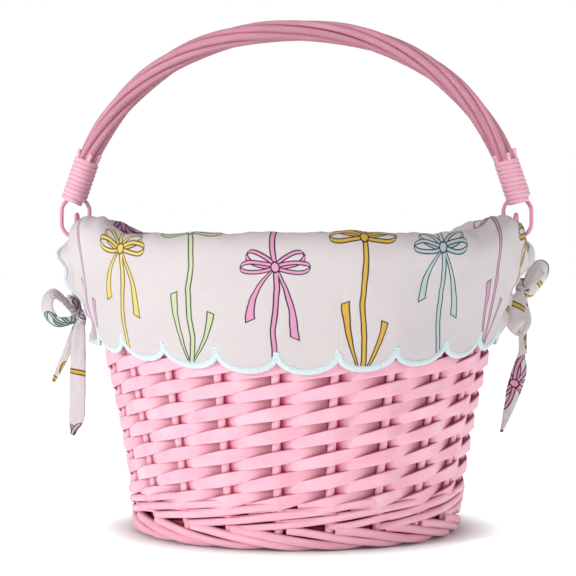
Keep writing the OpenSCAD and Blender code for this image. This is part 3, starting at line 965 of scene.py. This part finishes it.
def cuff(name, centre, seed, ends):
    """Half of the cuff. ends gives the height of the knot and of the flare above it at each end.
    Returns it with the path of its edge, and with its own flat area."""
    rows = 66
    nominal = scallop_columns()
    r, z = cuff_section(hem_z(nominal), rows)
    steps = np.hypot(np.diff(r, axis=0), np.diff(z, axis=0))
    length = np.vstack([0 * nominal, np.cumsum(steps, axis=0)])
    fold_row = int(np.argmin(np.abs(r[: rows // 2, 0] - CREST_R)))
    v = length - length[fold_row]
    u = nominal * PRINT_R * r / SHOULDER_R
    flat_area = float((steps * np.gradient(nominal * PRINT_R)).sum())
    away = np.degrees(np.abs(nominal))
    outside = smoothstep(2 * MM, 14 * MM, v)
    top = smoothstep(RIM_Z - 30 * MM, RIM_Z - 2 * MM, z)
    puff = smoothstep(*PUFF_RISE, away) * (1 - smoothstep(*PUFF_FALL, away))
    z = z + puff * PUFF_UP * top * smoothstep(-16 * MM, -8 * MM, v)
    z += ripple_2d(seed + 5, u, v * 0.3, 12 * MM) * TOP_WOBBLE * top * (1 + 0.3 * puff)
    r = r + puff * PUFF_OUT * top
    drape = ripple_2d(seed, u, v * 0.55, 34 * MM) * 1.5 + ripple_2d(seed + 3, u * 1.4, v * 0.8, 13 * MM) * 0.4
    r += drape * MM * (0.4 + 0.6 * outside)
    closing = 0
    for sign, (knot_height, flare_height) in zip((-1, 1), ends):
        side = (np.sign(nominal) == sign)[None, :]
        r += side * outside * gathering(nominal, z, sign, knot_height, flare_height, seed)
        closing = closing + side * hump(z, knot_height, 24 * MM)
    closing = np.minimum(1, closing + 0.5 * smoothstep(150 * MM, 110 * MM, z))
    angle = centre + nominal * (1 + 0.034 * closing * np.abs(nominal) / CUFF_HALF)
    surface = polar(r, angle, z)
    obj = grid_mesh(name, surface, np.stack([u, v], axis=-1))
    thicken(obj, CLOTH_T)
    down = np.gradient(surface, axis=0)
    around = np.gradient(surface, axis=1)
    facing = unit(np.cross(down, around))
    first = int(np.argmax(v[:, 0] > -14 * MM))
    both = np.concatenate([surface, facing], axis=-1)
    border = np.vstack([both[first:-1, 0], both[-1, :], both[first:-1, -1][::-1]])
    return obj, border, flat_area


def even_path(points, step):
    """The same path, with what else its rows hold, at points an even step apart."""
    lengths = distance_along(points[:, :3])
    places = np.linspace(0, lengths[-1], int(lengths[-1] / step))
    return np.stack([np.interp(places, lengths, column) for column in points.T], axis=-1)


def edging(name, border):
    """Overlock thread that wraps the edge of the cloth."""
    path = even_path(border, STITCH / 4)
    twist = np.sin(np.arange(len(path)) * math.pi / 2)
    return rod(name, path[:, :3], unit(path[:, 3:]), (0.95 + 0.08 * twist) * MM, (2.4 + 0.1 * twist) * MM,
               round_section(8, 2.6))


# Heights of the knot and of the flare at each end of the cuff
LEFT_END = (centre_of("tie_knot_left")[2], 176 * MM)
RIGHT_END = (centre_of("tie_knot_right")[2], 192 * MM)
for name, centre, seed, ends in (
    ("front", -math.pi / 2, 11, (LEFT_END, RIGHT_END)),
    ("back", math.pi / 2, 23, (RIGHT_END, LEFT_END)),
):
    half, border, cut_area = cuff(f"liner_cuff_{name}", centre, seed, ends)
    finish_piece(half, COTTON, "basket", f"cuff_{name}")
    edge = finish_piece(edging(f"overlock_{name}", border), EDGING, "basket", f"cuff_edging_{name}")


BAG_INSET = 15 * MM


def bag():
    """The bag of the liner: a wall of cloth that hangs from the rim, sewn round a disc on the base."""
    columns = 180
    floor_r = wall_r(BAG_FLOOR_Z) - BAG_INSET
    floor_z = BAG_FLOOR_Z + 1.2 * MM
    section = smooth_path([
        (0.2 * MM, floor_z),
        (floor_r * 0.35, floor_z),
        (floor_r * 0.7, floor_z),
        (floor_r - 9 * MM, floor_z + 0.5 * MM),
        (floor_r - 1 * MM, floor_z + 7 * MM),
        *[(wall_r(z) - BAG_INSET, z) for z in (60 * MM, 100 * MM, 145 * MM)],
        (wall_r(178 * MM) - 14.5 * MM, 178 * MM),
        (BAG_R - 1.2 * MM, RIM_Z - 1 * MM),
    ], 70)
    angle = np.linspace(0, 2 * math.pi, columns, endpoint=False)
    length = distance_along(section)
    r = np.repeat(section[:, :1], columns, axis=1)
    z = np.repeat(section[:, 1:], columns, axis=1)
    around = np.broadcast_to(angle, r.shape)
    folds = ripple_2d(31, np.cos(around) * 9, np.sin(around) * 9 + z * 8, 1.0)
    fine = ripple_2d(37, np.cos(around) * 22, np.sin(around) * 22 + z * 20, 1.0)
    hang = smoothstep(BAG_FLOOR_Z + 2 * MM, BAG_FLOOR_Z + 30 * MM, z) * (1 - smoothstep(180 * MM, RIM_Z, z))
    r = r - hang * (1.6 + 2.2 * folds + 1.0 * fine) * MM
    z = z + (1 - hang) * smoothstep(RIM_Z, 60 * MM, z) * np.maximum(0, fine) * 1.2 * MM
    u = np.linspace(0, 2 * math.pi * PRINT_R, columns + 1)
    uvs = np.stack(np.meshgrid(length - length[-1] - 10 * MM, u, indexing="ij")[::-1], axis=-1)
    obj = grid_mesh("liner_bag_cloth", polar(r, around, z), uvs, wrap_cols=True)
    mesh = obj.data
    seam_row = int(np.argmax(section[:, 1] > floor_z + 4 * MM))
    for face in mesh.polygons[: seam_row * columns]:
        for corner in face.loop_indices:
            place = mesh.vertices[mesh.loops[corner].vertex_index].co
            mesh.uv_layers["UVMap"].data[corner].uv = place.xy
    thicken(obj, CLOTH_T)
    return obj


bag_cloth = finish_piece(bag(), COTTON, "basket", "liner_bag")


# ------------ the ties
# Each ribbon is a row of (out from the basket, up, forward, half width, turn) from its knot, in mm and
# degrees. At turn 0 the cloth faces the front, and at 90 it is edge-on.
TIES = {
    "left": {
        "front_loop": [
            (0, 1, 3, 2.4, 55), (7, -2, 6, 4.2, 50), (16, -2, 8, 5.2, 42), (21.5, 5, 9, 5.6, 38),
            (22, 13, 9, 5.6, 40), (17.5, 18.5, 8, 5.2, 55), (11, 14, 6, 4.6, 66), (5, 7, 5, 3.8, 66),
            (0, 1, 3, 2.4, 60),
        ],
        "front_tail": [
            (0, -3, 3, 3.2, -10), (0.6, -10, 6, 4.9, -18), (0.8, -22, 8, 5.7, -24), (1, -38, 9, 6.0, -26),
            (1.4, -56, 9, 6.0, -24), (2, -69, 9, 5.5, -22), (4.6, -80, 9, 1.4, -20),
        ],
        "back_loop": [
            (0, 1, -3, 2.4, 60), (4, 3, -9, 4.4, 60), (7, 4, -18, 5.2, 60), (8, 9, -25, 5.4, 60),
            (7, 15, -24, 5.4, 60), (5, 13, -16, 4.6, 64), (2, 7, -8, 3.6, 64), (0, 1, -3, 2.4, 60),
        ],
        "back_tail": [
            (1, -2, -1, 2.0, -10), (4.5, -10, -2, 2.7, -16), (9, -22, -2, 2.9, -24), (14, -33, -3, 2.4, -30),
            (19, -44, -3, 1.0, -30),
        ],
    },
    "right": {
        "front_loop": [
            (0, 1, 3, 2.4, 40), (3.5, 5, 7, 4.6, 30), (7.5, 10.5, 9, 5.6, 24), (11, 14.5, 9, 5.9, 26),
            (13.5, 13.5, 7, 5.9, 34), (12.5, 8, 5, 5.8, 40), (9, 1.5, 4, 5.2, 46), (5, -4, 4, 4.0, 54),
            (1, -3, 3, 2.4, 60),
        ],
        "front_tail": [
            (0, -3, 3, 2.4, 30), (0.4, -14, 5, 2.6, 30), (-1.2, -25, 7, 2.0, 20), (-1.6, -35, 8, 1.6, 14),
            (-1.4, -45, 8, 2.4, 10), (-2.6, -56, 8, 5.0, 8), (-6, -69, 8, 5.3, 8), (-10.4, -84, 8, 3.2, 8),
            (-15, -99, 8, 0.9, 8),
        ],
        "back_loop": [
            (-1, -2, 3, 2.4, 10), (-4, -9, 7, 5.6, 4), (-6.5, -18, 9, 7.0, 0), (-5, -25, 9, 6.2, -6),
            (-2, -28, 6, 4.6, 0), (0.5, -22, 3, 5.4, 12), (-0.5, -12, 2, 4.4, 16), (0, -2, 2, 2.4, 20),
        ],
        "back_tail": [
            (0, -2, -2, 2.0, 50), (2, -14, -6, 3.6, 60), (3, -30, -8, 4.4, 64), (3.5, -46, -9, 1.2, 60),
        ],
    },
}
# Where on the print each tie was cut: the column nearest to its knot, how far past the knot that column
# is and how far down it, in mm. Column -3 of TIE_COLUMNS is the gold one. The last number seeds its creases.
TIE_CUTS = {
    "left": {
        "front_loop": (-1, 6, -6, 13), "front_tail": (-3, 35, -22, 5),
        "back_loop": (-3, 8, -10, 17), "back_tail": (-3, 44, -10, 4),
    },
    "right": {
        "front_loop": (-3, 34, -12, 21), "front_tail": (-5, 10, -14, 2),
        "back_loop": (-3, 12, -16, 6), "back_tail": (-3, 20, 0, 1),
    },
}
TIE_T = 1.0 * MM
RIBBON_ROWS = 64
PRINT_TURN = math.radians(76)


def ribbon(name, rows, cut, side, centre):
    """A strip of cloth that follows one row of TIES, cut as a row of TIE_CUTS says."""
    table = np.array(rows, float)
    column, past_knot, down_column, seed = cut
    places = np.stack([table[:, 0] * side, -table[:, 2], table[:, 1]], axis=-1)
    path = centre + smooth_path(places, RIBBON_ROWS) * MM
    half = smooth_path(table[:, 3:4], RIBBON_ROWS)[:, 0] * MM
    turn = np.radians(smooth_path(table[:, 4:5], RIBBON_ROWS))
    along = unit(np.gradient(path, axis=0))
    flat = unit(np.cross(along, FRONT))
    wide = unit(np.cos(turn) * flat + np.sin(turn) * np.cross(flat, along))
    face = np.cross(along, wide)
    s = np.linspace(-1, 1, 11)
    length = distance_along(path)
    across = half[:, None] * s
    down = length[:, None] + 0 * s
    crease = 0.9 * MM * ripple_2d(seed, down, s * 0.02 + 0 * down, 11 * MM)
    cup = 0.16 * half[:, None] * s**2
    points = path[:, None] + wide[:, None] * across[..., None] + face[:, None] * (cup + crease)[..., None]
    u = math.cos(PRINT_TURN) * across + math.sin(PRINT_TURN) * (down - past_knot * MM)
    v = math.cos(PRINT_TURN) * down - math.sin(PRINT_TURN) * across + down_column * MM
    obj = grid_mesh(name, points, np.stack([u + column * COLUMN_PITCH - COLUMN_SHIFT, v], axis=-1))
    thicken(obj, TIE_T)
    bpy.context.view_layer.objects.active = obj
    bpy.ops.object.modifier_apply(modifier="thickness")
    return obj, 2 * float((half[:-1] * np.diff(length)).sum())


def knot(name, centre, seed):
    """The small ball of cloth where the ties cross, with the folds that wrap it."""
    rows, columns = 26, 36
    lat = np.linspace(0.04, math.pi - 0.04, rows)[:, None]
    lon = np.linspace(0, 2 * math.pi, columns, endpoint=False)[None, :]
    fold = 1 + 0.09 * np.sin(lon * 4 + lat * 3 + seed) + 0.05 * np.sin(lat * 9 + lon * 2)
    size = np.array([4.2, 4.8, 6.6]) * MM
    shape = np.stack([np.sin(lat) * np.cos(lon), np.sin(lat) * np.sin(lon), np.cos(lat) + 0 * lon], axis=-1)
    points = np.array(centre) + shape * size * fold[..., None]
    u = np.linspace(0, 32 * MM, columns + 1) + 100 * MM
    v = np.linspace(0, 20 * MM, rows) - 6 * MM
    uvs = np.stack(np.meshgrid(v, u, indexing="ij")[::-1], axis=-1)
    return grid_mesh(name, points, uvs, wrap_cols=True, caps=True)


for side, name in ((-1, "left"), (1, "right")):
    centre = centre_of(f"tie_knot_{name}")
    ball = knot(f"bow_knot_{name}", centre, side + 2)
    finish_piece(ball, TIE_COTTON, "basket", f"tie_knot_{name}")
    for part in ("front", "back"):
        strips = []
        cut_area = 0
        for end in (f"{part}_loop", f"{part}_tail"):
            strip, area = ribbon(f"{end}_{name}", TIES[name][end], TIE_CUTS[name][end], side, centre)
            strips.append(strip)
            cut_area += area
        bow = join(f"bow_{part}_{name}", strips)
        finish_piece(bow, TIE_COTTON, "basket", f"tie_{part}_{name}")


# ------------ floor, light and camera
def studio_floor_material(near, far, near_glow, far_glow):
    """White that takes soft shadows near the object and is evenly white further off."""
    m = Material("pale_floor", roughness=0.9, specular=0.1)
    white = srgb(244, 252, 249)
    m.shader.inputs["Base Color"].default_value = white
    m.shader.inputs["Emission Color"].default_value = white
    x, y, _ = m.split(m.node("ShaderNodeTexCoord").outputs["Object"])
    glow = length_of(x, y).ramp(near, far, near_glow, far_glow)
    m.link(glow.socket, m.shader.inputs["Emission Strength"])
    return m.material


def floor():
    mesh = bpy.data.meshes.new("floor")
    half = 6.0
    corners = [(-half, -half, 0), (half, -half, 0), (half, half, 0), (-half, half, 0)]
    mesh.from_pydata(corners, [], [(0, 1, 2, 3)])
    obj = bpy.data.objects.new("floor", mesh)
    bpy.context.scene.collection.objects.link(obj)
    obj.data.materials.append(studio_floor_material(near=0.114, far=0.15, near_glow=0.04, far_glow=0.92))


def area_light(name, location, target, size, power):
    data = bpy.data.lights.new(name, "AREA")
    data.shape = "DISK"
    data.size = size
    data.energy = power
    obj = bpy.data.objects.new(name, data)
    obj.location = location
    obj.rotation_euler = (Vector(target) - Vector(location)).to_track_quat("-Z", "Y").to_euler()
    bpy.context.scene.collection.objects.link(obj)


def studio_world(seen, light):
    """A white studio: plain white where it is seen, dimmer as a light."""
    world = bpy.data.worlds.new("studio")
    world.use_nodes = True
    tree = world.node_tree
    background = tree.nodes["Background"]
    background.inputs["Color"].default_value = srgb(255, 255, 255)
    path = tree.nodes.new("ShaderNodeLightPath")
    strength = Value(tree, path.outputs["Is Camera Ray"]).ramp(0.0, 1.0, light, seen)
    tree.links.new(strength.socket, background.inputs["Strength"])
    bpy.context.scene.world = world


floor()
studio_world(seen=1.0, light=0.27)
middle = (0, 0, 0.14)
area_light("key", (-1.9, -1.5, 0.8), middle, 0.2, 28.5)
area_light("fill", (0.9, -1.9, 0.9), middle, 1.2, 4.2)
area_light("top", (-0.3, -0.3, 1.9), middle, 1.0, 6.6)
area_light("rim", (1.9, -0.4, 0.7), middle, 0.8, 4)

CAMERA_DISTANCE = 1.386
CAMERA_HEIGHT = RIM_Z + 1 * MM
CAMERA_SIDE = -5.9 * MM
CAMERA_DOWN = 1.415
camera_data = bpy.data.cameras.new("camera")
camera_data.lens = 125
camera_data.sensor_width = 36
camera_data.clip_start = 0.05
camera = bpy.data.objects.new("camera", camera_data)
camera.location = (CAMERA_SIDE, -CAMERA_DISTANCE, CAMERA_HEIGHT)
camera.rotation_euler = (math.radians(90 - CAMERA_DOWN), 0, 0)
bpy.context.scene.collection.objects.link(camera)
bpy.context.scene.camera = camera
bpy.context.scene.view_settings.view_transform = "Standard"
